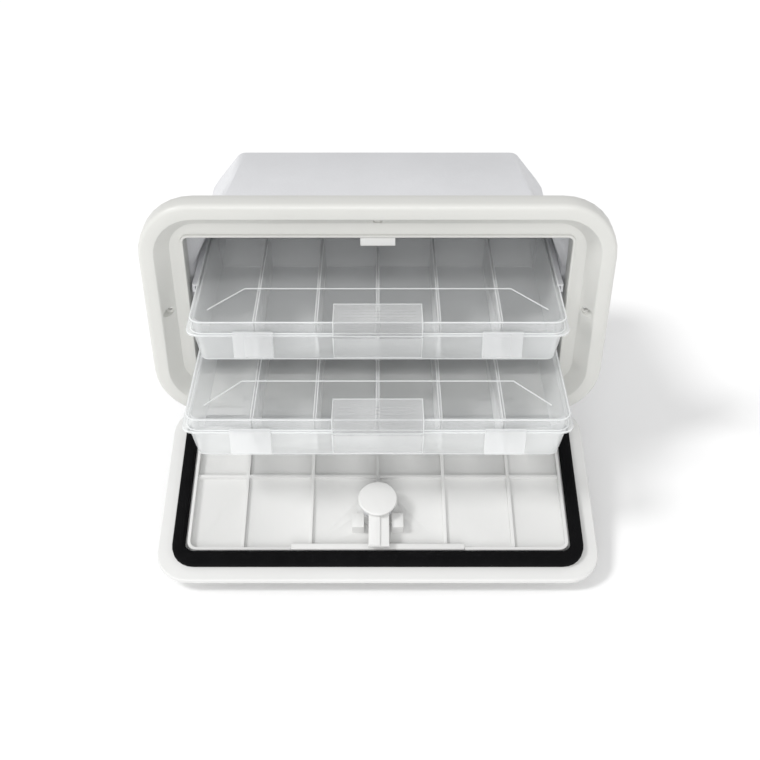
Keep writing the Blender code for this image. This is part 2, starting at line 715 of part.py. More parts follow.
def make_seal(pivot):
    """The ring seal that the frame's lip presses on."""
    low = BORDER_N + GAP
    shoulder = 2.6 * MM
    profile = [
        (0, low), (0, SEAL_TOP - shoulder), (shoulder * 0.3, SEAL_TOP - shoulder * 0.3),
        (shoulder, SEAL_TOP), (SEAL_W - shoulder, SEAL_TOP),
        (SEAL_W - shoulder * 0.3, SEAL_TOP - shoulder * 0.3),
        (SEAL_W, SEAL_TOP - shoulder), (SEAL_W, low),
    ]
    rings = [
        door_ring(BORDER + o, n, SEAL_R - o, free=SEAL_FREE * o / SEAL_W) for o, n in profile
    ]
    return smooth(loft("door_seal", rings, RUBBER, pivot, closed=True), 50)


def make_bar(pivot):
    """The stiffening bar that closes the break in the rim at the free side."""
    outer = DOOR_HIGH - RIM_INSET - SEAL_FREE
    inner = outer - BAR_W
    top = BORDER_N + RIM_UP + 1 * MM
    outline = [
        (BORDER_N + GAP, inner), (top - 0.8 * MM, inner), (top, inner + 0.8 * MM),
        (top, outer - 0.8 * MM), (top - 0.8 * MM, outer), (BORDER_N + GAP, outer),
    ]
    return extruded("door_bar", outline, -BAR_HALF, BAR_HALF, WHITE, pivot)


def make_hinge_pins():
    """The two pins that the door turns on."""
    half = ARM_W / 2 + NOTCH_SIDE + PIN_HOLD
    for side, sign in (("left", -1), ("right", 1)):
        x = sign * HINGE_X
        profile = [
            (PIN_R * 0.8, x - half), (PIN_R, x - half + 0.4 * MM),
            (PIN_R, x + half - 0.4 * MM), (PIN_R * 0.8, x + half),
        ]
        centre = (0, PIVOT_Y, PIVOT_Z)
        pin = turned(f"hinge_pin_{side}", profile, centre, "X", STEEL, None, 16, pi / 16)
        smooth(pin)


# ---- door latch ------------------------------------------------------------
def make_latch_body(pivot):
    """Outer flange and threaded barrel that pass through the door."""
    flange = FACE_N - 0.9 * MM
    profile = [
        (ESCUTCHEON_R - 1.2 * MM, flange - 2 * MM), (ESCUTCHEON_R, flange - 1.2 * MM),
        (ESCUTCHEON_R, flange), (BARREL_R, flange), (BARREL_R, HUB_BOTTOM - 1.2 * MM),
    ]
    body = turned("latch_body", profile, (0, 0, CAM_AXIS), "Y", WHITE, pivot, sides=32)
    bore = [(SPINDLE_HALF * 1.6, flange - 5 * MM), (SPINDLE_HALF * 1.6, HUB_BOTTOM + 2 * MM)]
    cutter = turned("bore", bore, (0, 0, CAM_AXIS), "Y", sides=16)
    return smooth(combine(body, [cutter], "DIFFERENCE"))


def ring_solid(name, inner, outer, low, high, look, pivot, sides=32, outer_sides=None):
    """A flat ring on the latch axis."""
    start = pi / 6 if outer_sides == 6 else 0.0
    count = outer_sides or sides
    body = turned(
        name, [(outer, low), (outer, high)], (0, 0, CAM_AXIS), "Y", look, pivot,
        sides=count, start=start,
    )
    bore = [(inner, low - 2 * MM), (inner, high + 2 * MM)]
    cutter = turned("bore", bore, (0, 0, CAM_AXIS), "Y", sides=sides)
    return smooth(combine(body, [cutter], "DIFFERENCE"))


def square_bore(low, high, half):
    """A cutter for the spindle's square hole."""
    return block(
        "square", (-half, low, CAM_AXIS - half), (half, high, CAM_AXIS + half)
    )


def make_handle(turn):
    """The wing grip on the door's outer face."""
    base = FACE_N - 0.9 * MM - 2 * MM - GAP
    profile = [
        (15 * MM, base - 3.4 * MM), (17 * MM, base - 2 * MM), (17 * MM, base),
    ]
    handle = turned("latch_handle", profile, (0, 0, CAM_AXIS), "Y", WHITE, turn, sides=32)
    grip = block(
        "grip",
        (-4.2 * MM, base - 15 * MM, CAM_AXIS - 15.5 * MM),
        (4.2 * MM, base - 2 * MM, CAM_AXIS + 15.5 * MM),
    )
    combine(handle, [grip], "UNION")
    hole = square_bore(base - 6 * MM, base + 2 * MM, SPINDLE_HALF + GAP)
    return smooth(combine(handle, [hole], "DIFFERENCE"))


def make_spindle(turn):
    """The square shaft from the handle to the cam."""
    base = FACE_N - 0.9 * MM - 2 * MM - GAP
    low, high = base - 6 * MM + GAP, HUB_TOP - 4.8 * MM
    shaft = block(
        "latch_spindle",
        (-SPINDLE_HALF, low, CAM_AXIS - SPINDLE_HALF),
        (SPINDLE_HALF, high, CAM_AXIS + SPINDLE_HALF),
        STEEL, turn,
    )
    tap = [(SCREW_HOLE_R, high - 8 * MM), (SCREW_HOLE_R, high + 2 * MM)]
    cutter = turned("tap", tap, (0, 0, CAM_AXIS), "Y", sides=12)
    return combine(shaft, [cutter], "DIFFERENCE")


def make_cam(turn):
    """Round hub with the arm that reaches behind the keeper."""
    profile = [
        (CAM_HUB_R - 1 * MM, HUB_BOTTOM), (CAM_HUB_R, HUB_BOTTOM + 1 * MM), (CAM_HUB_R, HUB_TOP),
    ]
    cam = turned("latch_cam", profile, (0, 0, CAM_AXIS), "Y", WHITE, turn, sides=40)
    arm = block(
        "arm", (-CAM_LEFT, CAM_LOW, CAM_AXIS), (CAM_RIGHT, CAM_HIGH - CAM_RIB_UP, CAM_AXIS + CAM_REACH)
    )
    rib = block(
        "rib", (-CAM_LEFT, CAM_LOW + 1 * MM, CAM_AXIS),
        (CAM_RIB_RIGHT, CAM_HIGH, CAM_AXIS + CAM_REACH - 0.4 * MM),
    )
    combine(cam, [arm, rib], "UNION")
    recess = [(7 * MM, HUB_TOP - 2.5 * MM), (7 * MM, HUB_TOP + 2 * MM)]
    pilot = [(SCREW_HOLE_R, HUB_TOP - 8 * MM), (SCREW_HOLE_R, HUB_TOP)]
    cutters = [
        square_bore(HUB_BOTTOM - 2 * MM, HUB_TOP - 4.5 * MM, SPINDLE_HALF + GAP),
        turned("recess", recess, (0, 0, CAM_AXIS), "Y", sides=20),
        turned("pilot", pilot, (0, 0, CAM_AXIS), "Y", sides=12),
    ]
    return smooth(combine(cam, cutters, "DIFFERENCE"))


def make_latch(pivot, turn):
    """Every piece of the door's cam latch."""
    make_latch_body(pivot)
    ring_solid(
        "latch_seal", BARREL_R + 1 * MM, ESCUTCHEON_R - 4 * MM,
        FACE_N - 0.9 * MM + 0.2 * MM, FACE_N - 0.2 * MM, RUBBER, pivot,
    )
    ring_solid(
        "latch_nut", BARREL_R + GAP, NUT_AF / 2 / cos(pi / 6),
        BORDER_N + RIB_UP + 0.1 * MM + GAP, HUB_BOTTOM - 2 * MM, SHELL, pivot, outer_sides=6,
    )
    make_handle(turn)
    make_spindle(turn)
    make_cam(turn)
    seat = (0, HUB_TOP - 2.5 * MM, CAM_AXIS)
    screw("cam_screw", seat, Vector((0, 1, 0)), 9 * MM, turn)
    cap = [
        (HUB_R - 0.6 * MM, HUB_TOP + GAP), (HUB_R, HUB_TOP + GAP + 0.6 * MM),
        (HUB_R, HUB_TOP + GAP + CAP_T - 0.9 * MM), (HUB_R - 0.9 * MM, HUB_TOP + GAP + CAP_T),
    ]
    smooth(turned("cam_cap", cap, (0, 0, CAM_AXIS), "Y", WHITE, turn, sides=40))


# ---- trays -----------------------------------------------------------------
def tray_ring(inset, z, radius, front=0.0):
    """A tray's outline, inset from its flange, at a height from its lid's top."""
    half = TRAY_HALF - inset
    y0 = -FLANGE_FRONT + max(inset - LID_INSET, 0) + min(inset, LID_INSET) * 0.2 + front
    y1 = -FLANGE_FRONT + TRAY_D - inset
    outline = rounded_outline(-half, half, y0, y1, radius, 4)
    return [(x, y, z) for x, y in outline]


def ear_block(x, y, z, foot):
    """A hinge ear: a small block around the lid pin."""
    half = LID_EAR_W / 2
    return block(
        "ear", (x - half, y - 1.7 * MM, foot), (x + half, y + 2.4 * MM, z + 2.5 * MM)
    )


def make_base(name, place):
    """The tray's tub, with its flange and the neck that the lid closes over."""
    under = -SKIRT_H - GAP
    neck_x = LID_INSET + SKIRT_T + LID_SIDE_CLEAR
    wall = neck_x + TRAY_WALL
    foot = neck_x + TRAY_DRAFT
    y_shift = LID_END_CLEAR - LID_SIDE_CLEAR
    neck_y0 = y_shift
    rings = [
        tray_ring(foot + 2 * MM, -TRAY_H, TRAY_R * 0.6),
        tray_ring(foot, -TRAY_H + 2 * MM, TRAY_R * 0.7),
        tray_ring(neck_x, under - FLANGE_T, TRAY_R * 0.8),
        tray_ring(0, under - FLANGE_T, TRAY_R),
        tray_ring(0, under, TRAY_R),
        tray_ring(neck_x + y_shift, under, TRAY_R * 0.8),
        tray_ring(neck_x + y_shift, -SKIRT_T - 2 * GAP, TRAY_R * 0.8),
        tray_ring(wall + y_shift, -SKIRT_T - 2 * GAP, TRAY_R * 0.7),
        tray_ring(wall + y_shift, under - FLANGE_T, TRAY_R * 0.7),
        tray_ring(foot + TRAY_WALL + 0.4 * MM, -TRAY_H + TRAY_WALL + 0.4 * MM, TRAY_R * 0.5),
    ]
    base = loft(name, rings, CLEAR, place)
    low = -TRAY_H + TONGUE_UP
    sunk = TRAY_WALL * 0.4 - LID_INSET
    tongue = [
        (-PAD_OUT, under), (-PAD_OUT, under - FLANGE_T - GAP),
        (foot - LID_INSET - TONGUE_T, low), (foot + sunk, low),
        (neck_x + sunk, under - FLANGE_T), (neck_x + sunk, under - FLANGE_T * 0.2),
    ]
    added = [extruded("tongue", tongue, -PAD_HALF, PAD_HALF, PLAIN)]
    for sign in (-1, 1):
        seat = under - FLANGE_T / 2
        added.append(ear_block(sign * LID_EAR_X[0], LID_PIN_Y, LID_PIN_Z, seat))
    combine(base, added, "UNION")
    return combine(base, [pin_bore()], "DIFFERENCE")


def pin_bore():
    """A cutter for the lid pin's bore."""
    reach = LID_EAR_X[1] + LID_EAR_W
    profile = [(LID_PIN_R + GAP, -reach), (LID_PIN_R + GAP, reach)]
    return turned("pin_bore", profile, (0, LID_PIN_Y, LID_PIN_Z), "X", sides=12)


def make_lid(name, place):
    """The lid with its skirt, hinge ears, ridge and pull pad."""
    side = LID_INSET
    rings = [
        tray_ring(side + SKIRT_T, -SKIRT_T, TRAY_R - SKIRT_T),
        tray_ring(side + SKIRT_T, -SKIRT_H, TRAY_R - SKIRT_T),
        tray_ring(side, -SKIRT_H, TRAY_R),
        tray_ring(side, -1 * MM, TRAY_R),
        tray_ring(side + 1 * MM, 0, TRAY_R - 1 * MM),
    ]
    lid = loft(name, rings, CLEAR, place)
    front = -PAD_OUT
    parts = [
        block("pad", (-PAD_HALF, front, -PAD_T), (PAD_HALF, PAD_BACK, PAD_T)),
        block("pad_front", (-PAD_HALF, front, -SKIRT_H), (PAD_HALF, 0.8 * MM, PAD_T / 2)),
    ]
    for sign in (-1, 1):
        parts.append(
            block(
                "ear",
                (sign * LID_EAR_X[1] - LID_EAR_W / 2, LID_D - 1 * MM, LID_PIN_Z - 2.4 * MM),
                (sign * LID_EAR_X[1] + LID_EAR_W / 2, LID_PIN_Y + 2.4 * MM, LID_PIN_Z + 2.5 * MM),
            )
        )
    low, high = (-RIDGE_HALF, RIDGE_Y, -0.4 * MM), (RIDGE_HALF, RIDGE_Y + 1.8 * MM, 0.7 * MM)
    parts.append(block("ridge", low, high))
    for sign in (-1, 1):
        inner, outer = (RIDGE_HALF, RIDGE_Y + 0.9 * MM), RIDGE_END
        run = Vector(outer) - Vector(inner)
        across = Vector((-run.y, run.x)).normalized() * 0.9 * MM
        corners = [
            Vector(inner) - across, Vector(outer) - across,
            Vector(outer) + across, Vector(inner) + across,
        ]
        rings = [[(sign * c.x, c.y, z) for c in corners] for z in (-0.4 * MM, 0.65 * MM)]
        parts.append(loft("ridge_end", rings, PLAIN))
    combine(lid, parts, "UNION")
    return combine(lid, [pin_bore()], "DIFFERENCE")


def make_tray_latch(name, place, x):
    """A snap latch that hangs from the lid's front edge."""
    top = -SKIRT_H + LATCH_UP
    low = top - LATCH_L
    outline = [
        (-GAP, top), (-GAP - LATCH_T - 1 * MM, top - 0.6 * MM),
        (-GAP - LATCH_T - 1 * MM, low + 3 * MM), (-GAP - LATCH_T - 2.2 * MM, low),
        (-GAP - LATCH_T - 0.6 * MM, low), (-FLANGE_FRONT - 0.5 * MM, low + 3.4 * MM),
        (-FLANGE_FRONT - 0.5 * MM, -SKIRT_H + 0.8 * MM), (-GAP, -SKIRT_H + 0.8 * MM),
    ]
    half = LATCH_W / 2
    pivot = bpy.data.objects.new(name + "_axis", None)
    bpy.context.collection.objects.link(pivot)
    pivot.parent = place
    pivot.location = (x, -GAP, top)
    moved = [(y + GAP, z - top) for y, z in outline]
    return extruded(name, moved, -half, half, FROSTED, pivot)


def make_divider(name, place, x):
    """A removable plate between two compartments."""
    neck = LID_INSET + SKIRT_T + LID_END_CLEAR + TRAY_WALL
    foot = LID_INSET + SKIRT_T + LID_SIDE_CLEAR + TRAY_DRAFT + TRAY_WALL + 0.4 * MM
    clear = 0.45 * MM
    low = -TRAY_H + TRAY_WALL + 0.4 * MM + GAP
    step = -SKIRT_H - GAP - FLANGE_T
    high = -SKIRT_T - 3 * GAP - 1 * MM

    def span(inset):
        """Front and back ends at an inset from the flange."""
        y0 = -FLANGE_FRONT + inset - LID_INSET + LID_INSET * 0.2
        return y0 + clear, -FLANGE_FRONT + TRAY_D - inset - clear

    (f0, b0), (f1, b1) = span(foot), span(neck)
    outline = [(f0, low), (b0, low), (b1, step), (b1, high), (f1, high), (f1, step)]
    return extruded(name, outline, x - DIVIDER_T / 2, x + DIVIDER_T / 2, CLEAR, place)


def make_tray(name, drop, out):
    """One tray: tub, lid, pin, two latches and its dividers."""
    place = bpy.data.objects.new(name, None)
    bpy.context.collection.objects.link(place)
    place.location = (0, -out, TOP - drop)
    make_base(f"{name}_base", place)
    make_lid(f"{name}_lid", place)
    reach = LID_EAR_X[1] + LID_EAR_W / 2
    pin = [(LID_PIN_R, -reach), (LID_PIN_R, reach)]
    centre = (0, LID_PIN_Y, LID_PIN_Z)
    smooth(turned(f"{name}_lid_pin", pin, centre, "X", STEEL, place, sides=12))
    for side, sign in (("left", -1), ("right", 1)):
        make_tray_latch(f"{name}_{side}_latch", place, sign * LATCH_X)
    pitch = 2 * (TRAY_HALF - LID_INSET - SKIRT_T - TRAY_WALL) / COLUMNS
    for k in range(COLUMNS - 1):
        x = (k - (COLUMNS - 2) / 2) * pitch
        make_divider(f"{name}_divider_{k + 1}", place, x)


# ---- build -----------------------------------------------------------------
for old in list(bpy.data.objects):
    bpy.data.objects.remove(old)

PLAIN = material("tool", (0.5, 0.5, 0.5), 0.5)
WHITE = material("white_plastic", (0.82, 0.82, 0.79), 0.42)
SHELL = material("housing_plastic", (0.66, 0.66, 0.69), 0.5)
CLEAR = material("clear_plastic", (0.86, 0.9, 0.91), 0.25, alpha=0.35)
FROSTED = material("frosted_plastic", (0.88, 0.9, 0.9), 0.4, alpha=0.6)
RUBBER = material("seal_rubber", (0.02, 0.02, 0.022), 0.7)
STEEL = material("stainless_steel", (0.6, 0.6, 0.62), 0.3, metallic=1.0)

make_frame()
make_housing()
for tray_name, tray_drop in (("upper", UPPER_DROP), ("lower", LOWER_DROP)):
    for side_name, side_sign in (("left", -1), ("right", 1)):
        make_runner(tray_name, tray_drop, side_name, side_sign)
make_keeper()
for screw_name, screw_seat, screw_way in collar_screw_places():
    screw(f"collar_screw_{screw_name}", screw_seat, screw_way, WALL + COLLAR_CLEAR + LIP_T - 0.8 * MM)
for screw_name, screw_seat, screw_way in runner_screw_places():
    screw(f"runner_screw_{screw_name}", screw_seat, screw_way, RUNNER_REACH)
make_hinge_pins()

door_pivot = bpy.data.objects.new("door_pivot", None)
bpy.context.collection.objects.link(door_pivot)
door_pivot.matrix_world = Matrix.Translation((0, PIVOT_Y, PIVOT_Z)) @ Matrix.Rotation(OPEN_ANGLE, 4, "X")
latch_turn = bpy.data.objects.new("latch_turn", None)
bpy.context.collection.objects.link(latch_turn)
latch_turn.parent = door_pivot
make_door(door_pivot)
make_seal(door_pivot)
make_bar(door_pivot)
make_latch(door_pivot, latch_turn)

make_tray("upper_tray", UPPER_DROP, UPPER_OUT)
make_tray("lower_tray", LOWER_DROP, LOWER_OUT)
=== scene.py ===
# %% [markdown]
# Tackle storage hatch, finished in Blender
#
# The object is a hatch that is let into a boat's bulkhead: a moulded bezel, a housing behind it, a drop-down door with
# a black seal and a cam latch, and two clear lidded trays on runners. The measured model holds every piece at its real
# size. This file gives the pieces their fine shape and their plastic, rubber or steel, and sets the camera and lights.

# %% Load the measured model
import json
from math import cos, pi, radians, sin

import bmesh
import bpy
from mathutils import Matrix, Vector


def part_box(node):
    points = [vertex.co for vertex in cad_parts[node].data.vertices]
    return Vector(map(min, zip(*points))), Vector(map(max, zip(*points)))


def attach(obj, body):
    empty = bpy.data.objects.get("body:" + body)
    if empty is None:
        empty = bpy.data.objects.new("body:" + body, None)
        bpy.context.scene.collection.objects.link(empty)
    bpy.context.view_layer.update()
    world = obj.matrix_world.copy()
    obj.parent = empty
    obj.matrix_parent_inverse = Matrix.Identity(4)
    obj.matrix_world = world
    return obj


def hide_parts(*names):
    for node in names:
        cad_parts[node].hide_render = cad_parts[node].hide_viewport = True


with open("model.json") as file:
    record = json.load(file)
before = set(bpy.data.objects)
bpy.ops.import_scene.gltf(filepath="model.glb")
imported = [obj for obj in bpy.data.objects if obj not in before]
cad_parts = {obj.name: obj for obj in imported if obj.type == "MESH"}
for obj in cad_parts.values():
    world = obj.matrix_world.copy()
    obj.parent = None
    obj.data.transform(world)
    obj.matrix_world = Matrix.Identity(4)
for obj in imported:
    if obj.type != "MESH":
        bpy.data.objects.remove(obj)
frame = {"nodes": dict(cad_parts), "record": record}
NODES = frame["nodes"]
SCENE = bpy.context.scene
MM = 0.001
SLOT_OF = {part["node"]: part["material_slot"] for part in frame["record"]["subparts"]}
BODIES = frame["record"]["behaviour"]["bodies"]
BODY_OF = {node: body for body, names in BODIES.items() for node in names}
TRAYS = ("upper_tray", "lower_tray")
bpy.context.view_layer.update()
print("measured model:", len(NODES), "nodes")

# %% [markdown]
# The camera stands in front of the hatch and looks down on it, so that the tray lids and the door's inner side both
# show. It could be aimed with a constraint, but a plain place and tilt are easier to read.

# %% Camera
_, bezel_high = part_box("frame")
lens = bpy.data.cameras.new("camera")
lens.lens, lens.sensor_width, lens.shift_x = 52.56, 36.0, 0.0029
camera = bpy.data.objects.new("camera", lens)
camera.location = (0.0, -0.9256, bezel_high[2] + 0.4687)
camera.rotation_euler = (radians(53.7), 0.0, 0.0)
SCENE.collection.objects.link(camera)
SCENE.camera = camera
print("camera at", [round(v, 3) for v in camera.location])

# %% [markdown]
# White plastic on a pale floor needs light that is soft but not equal from all sides, or the recess loses its shape.
# A broad sun from the upper left shades the left wall of the recess, a low one from the front reaches into the housing,
# and the sky fills the rest. Area lamps would do too, but a sun lights every part of the scene alike, so its strength
# needs no retuning for distance. The floor is a stage piece just under the lowest corner of the door.

# %% Lights and floor


def broad_sun(name, towards, strength, spread):
    """A sun with soft shadows, shining in the direction given."""
    data = bpy.data.lights.new(name, "SUN")
    data.energy, data.angle = strength, radians(spread)
    lamp = bpy.data.objects.new(name, data)
    lamp.rotation_euler = Vector(towards).to_track_quat("-Z", "Y").to_euler()
    SCENE.collection.objects.link(lamp)
    print(name, strength)


broad_sun("key_sun", (0.80, 0.25, -1.0), 1.30, 14)
broad_sun("front_sun", (0.05, 1.0, -0.46), 1.20, 40)
room = bpy.data.worlds.new("studio")
room.use_nodes = True
sky = room.node_tree.nodes["Background"]
sky.inputs["Color"].default_value = (1.0, 1.0, 1.0, 1.0)
sky.inputs["Strength"].default_value = 0.62
SCENE.world = room
SCENE.view_settings.view_transform = "Standard"

door_low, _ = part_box("door_panel")
FLOOR_DROP = 12 * MM
bpy.ops.mesh.primitive_plane_add(size=8.0, location=(0, 0, door_low[2] - FLOOR_DROP))
floor = bpy.context.object
floor.name = "floor"
print("floor", round(FLOOR_DROP / MM), "mm under the door")

# %% [markdown]
# Moulded plastic is never one flat colour. Each finish has a slow colour drift, a fine texture from the mould, a
# roughness that varies a little, and faint scuffs. The patterns read Object coordinates, so they stay on the part when
# it moves and come out at their real scale. An image could do the same, but noise has no seams and any resolution.

# %% Finish helper


def spread_noise(nodes, links, vector, scale, detail, low, high):
    """A noise field spread over a range of values."""
    field = nodes.new("ShaderNodeTexNoise")
    field.inputs["Scale"].default_value = scale
    field.inputs["Detail"].default_value = detail
    links.new(vector, field.inputs["Vector"])
    spread = nodes.new("ShaderNodeMapRange")
    spread.inputs["From Min"].default_value = 0.32
    spread.inputs["From Max"].default_value = 0.68
    spread.inputs["To Min"].default_value = low
    spread.inputs["To Max"].default_value = high
    links.new(field.outputs["Fac"], spread.inputs["Value"])
    return spread.outputs["Result"]


def finish(name, colour, drift, roughness, swing, grain, relief, stretch=(1, 1, 1), **fixed):
    """A Principled material with drifting colour and roughness, a moulded grain and faint scuffs."""
    look = bpy.data.materials.new(name)
    look.use_nodes = True
    nodes, links = look.node_tree.nodes, look.node_tree.links
    shader = nodes["Principled BSDF"]
    for socket, value in fixed.items():
        shader.inputs[socket.replace("_", " ")].default_value = value
    place = nodes.new("ShaderNodeTexCoord")
    scale = nodes.new("ShaderNodeMapping")
    scale.inputs["Scale"].default_value = stretch
    links.new(place.outputs["Object"], scale.inputs["Vector"])
    vector = scale.outputs["Vector"]
    tint = nodes.new("ShaderNodeMix")
    tint.data_type = "RGBA"
    tint.inputs["A"].default_value = (*colour, 1.0)
    tint.inputs["B"].default_value = (*(c * (1 - drift) for c in colour), 1.0)
    links.new(spread_noise(nodes, links, vector, 9.0, 5.0, 0.0, 1.0), tint.inputs["Factor"])
    links.new(tint.outputs["Result"], shader.inputs["Base Color"])
    worn = spread_noise(nodes, links, vector, 70.0, 4.0, roughness - swing, roughness + swing)
    links.new(worn, shader.inputs["Roughness"])
    fine = nodes.new("ShaderNodeBump")
    fine.inputs["Strength"].default_value = relief
    fine.inputs["Distance"].default_value = 0.0003
    links.new(spread_noise(nodes, links, vector, grain, 2.0, 0.0, 1.0), fine.inputs["Height"])
    wave = nodes.new("ShaderNodeBump")
    wave.inputs["Strength"].default_value = 0.12
    wave.inputs["Distance"].default_value = 0.0012
    links.new(spread_noise(nodes, links, vector, 14.0, 1.0, 0.0, 1.0), wave.inputs["Height"])
    links.new(fine.outputs["Normal"], wave.inputs["Normal"])
    links.new(wave.outputs["Normal"], shader.inputs["Normal"])
    return look


print("finish helper ready")

# %% Opaque plastics, rubber and steel
white_plastic = finish("white_plastic_moulded", (0.65, 0.65, 0.624), 0.035, 0.36, 0.07, 900.0, 0.10)
door_plastic = finish("door_plastic_moulded", (0.72, 0.72, 0.71), 0.03, 0.40, 0.07, 900.0, 0.10)
housing_plastic = finish("housing_plastic_moulded", (0.76, 0.765, 0.785), 0.05, 0.52, 0.08, 500.0, 0.22)
seal_rubber = finish(
    "seal_rubber_foam", (0.003, 0.003, 0.0035), 0.35, 0.90, 0.05, 700.0, 0.5, Specular_IOR_Level=0.12,
)
stainless = finish(
    "stainless_steel_turned", (0.62, 0.62, 0.63), 0.08, 0.28, 0.08, 250.0, 0.1, (1, 1, 12), Metallic=1.0,
)
studio_floor = finish("studio_floor", (0.98, 0.98, 0.98), 0.01, 0.85, 0.02, 40.0, 0.02)
floor.data.materials.append(studio_floor)
print("opaque finishes made")

# %% [markdown]
# The trays are clear polypropylene with a milky cast. A thin wall lets most light through where it is seen face on and
# turns whiter where it is seen edge on. Real refraction through a dozen thin walls is slow and goes dark, so the alpha
# follows the angle with a Layer Weight. The lids are the clearest, and thicker places such as rims and dividers are
# denser; the rim beads are whiter still, as a painted highlight.

# %% See-through plastics


def milky(name, colour, face_on, edge_on, roughness):
    """Milky see-through plastic whose edges read denser than its faces."""
    look = finish(name, colour, 0.03, roughness, 0.05, 300.0, 0.08)
    nodes, links = look.node_tree.nodes, look.node_tree.links
    weight = nodes.new("ShaderNodeLayerWeight")
    weight.inputs["Blend"].default_value = 0.30
    density = nodes.new("ShaderNodeMapRange")
    density.inputs["To Min"].default_value = face_on
    density.inputs["To Max"].default_value = edge_on
    links.new(weight.outputs["Facing"], density.inputs["Value"])
    links.new(density.outputs["Result"], nodes["Principled BSDF"].inputs["Alpha"])
    return look


tray_plastic = milky("clear_plastic_tray", (0.96, 0.975, 0.977), 0.19, 0.66, 0.16)
lid_plastic = milky("clear_plastic_lid", (0.95, 0.97, 0.972), 0.02, 0.34, 0.14)
divider_plastic = milky("clear_plastic_divider", (0.99, 0.995, 1.0), 0.75, 0.97, 0.22)
# The rim beads' plastic is a painted highlight: denser and whiter than the tray, to stand in for light gathered in the
# rims.
rim_highlight_plastic = milky("clear_plastic_rim_painted_highlight", (0.96, 0.975, 0.98), 0.42, 0.95, 0.20)
pad_plastic = milky("clear_plastic_pad", (0.97, 0.98, 0.985), 0.10, 0.55, 0.22)
frosted_plastic = milky("frosted_plastic_latch", (0.96, 0.97, 0.975), 0.22, 0.80, 0.34)
LOOKS = {
    "white_plastic": white_plastic, "housing_plastic": housing_plastic, "clear_plastic": tray_plastic,
    "frosted_plastic": frosted_plastic, "seal_rubber": seal_rubber, "stainless_steel": stainless,
}
print("see-through finishes made")

# %% [markdown]
# The measured meshes are loose triangles with sharp edges, which real mouldings don't have. A copy of each is merged,
# its flat faces are joined, its edges get a small bevel and it is shaded smooth, and the copy stands for the node. It
# could be modelled again by hand, but this way it can't drift from the measured size.

# %% Cleaned and bevelled copies


def adopt(piece, body, nodes):
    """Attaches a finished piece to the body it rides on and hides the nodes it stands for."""
    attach(piece, body)
    if nodes:
        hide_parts(*nodes)


def softened(node, bevel, look=None, angle=32):
    """A cleaned, bevelled and smoothed copy of a node that stands for it."""
    mesh = NODES[node].data.copy()
    work = bmesh.new()
    work.from_mesh(mesh)
    bmesh.ops.remove_doubles(work, verts=work.verts, dist=2e-6)
    bmesh.ops.dissolve_limit(work, angle_limit=radians(1.5), verts=work.verts, edges=work.edges)
    work.to_mesh(mesh)
    work.free()
    mesh.materials.clear()
    mesh.materials.append(look or LOOKS[SLOT_OF[node]])
    piece = bpy.data.objects.new(node + "_finished", mesh)
    SCENE.collection.objects.link(piece)
    if bevel:
        soft = piece.modifiers.new("bevel", "BEVEL")
        soft.width, soft.segments, soft.limit_method = bevel, 2, "ANGLE"
        soft.angle_limit = radians(angle)
        piece.data = plain_mesh(piece)
    piece.data.shade_smooth()
    piece.data.set_sharp_from_angle(angle=radians(angle))
    adopt(piece, BODY_OF[node], [node])
    return piece


def plain_mesh(piece):
    """The piece's evaluated mesh; its modifiers are removed."""
    bpy.context.view_layer.update()
    shaped = bpy.data.meshes.new_from_object(piece.evaluated_get(bpy.context.evaluated_depsgraph_get()))
    piece.modifiers.clear()
    return shaped


PIN_BEVEL, THIN_BEVEL = 0.2 * MM, 0.3 * MM   # round pins; runners and tray latches
softened("frame", 0.4 * MM)
softened("housing", 0.0, angle=40)
softened("door_panel", 0.45 * MM, door_plastic)
softened("door_seal", 0.0, angle=60)
for name in ("keeper", "door_bar", "latch_cam", "cam_cap"):
    softened(name, 0.5 * MM, door_plastic)
for name in ("latch_body", "latch_seal", "latch_nut", "latch_handle", "latch_spindle"):
    softened(name, 0.4 * MM)
for name in NODES:
    if "pin" in name and "spindle" not in name:
        softened(name, PIN_BEVEL)
    elif name.endswith(("runner", "_latch")):
        softened(name, THIN_BEVEL)
    elif name.endswith(("_tray_base", "_tray_lid")):
        softened(name, 0.0, lid_plastic if name.endswith("lid") else tray_plastic)
print("copies made")

# %% [markdown]
# The rest of the detail repeats or follows a path, so Geometry Nodes trees make it. Each tree has named inputs. The
# helper fills them in, lets Blender evaluate the tree once, and keeps the result as a plain mesh.

# %% Geometry Nodes helper


def new_tree(name, **inputs):
    """An empty tree with a geometry input and output and the named inputs."""
    tree = bpy.data.node_groups.new(name, "GeometryNodeTree")
    tree.interface.new_socket("Geometry", in_out="INPUT", socket_type="NodeSocketGeometry")
    tree.interface.new_socket("Geometry", in_out="OUTPUT", socket_type="NodeSocketGeometry")
    for label, kind in inputs.items():
        tree.interface.new_socket(label, in_out="INPUT", socket_type="NodeSocket" + kind)
    start, end = tree.nodes.new("NodeGroupInput"), tree.nodes.new("NodeGroupOutput")
    return tree, start, end


def close_tree(tree, start, end, geometry):
    """Ends a tree in Realize Instances and Set Material."""
    real = tree.nodes.new("GeometryNodeRealizeInstances")
    paint = tree.nodes.new("GeometryNodeSetMaterial")
    tree.links.new(geometry, real.inputs["Geometry"])
    tree.links.new(real.outputs["Geometry"], paint.inputs["Geometry"])
    tree.links.new(start.outputs["Material"], paint.inputs["Material"])
    tree.links.new(paint.outputs["Geometry"], end.inputs["Geometry"])


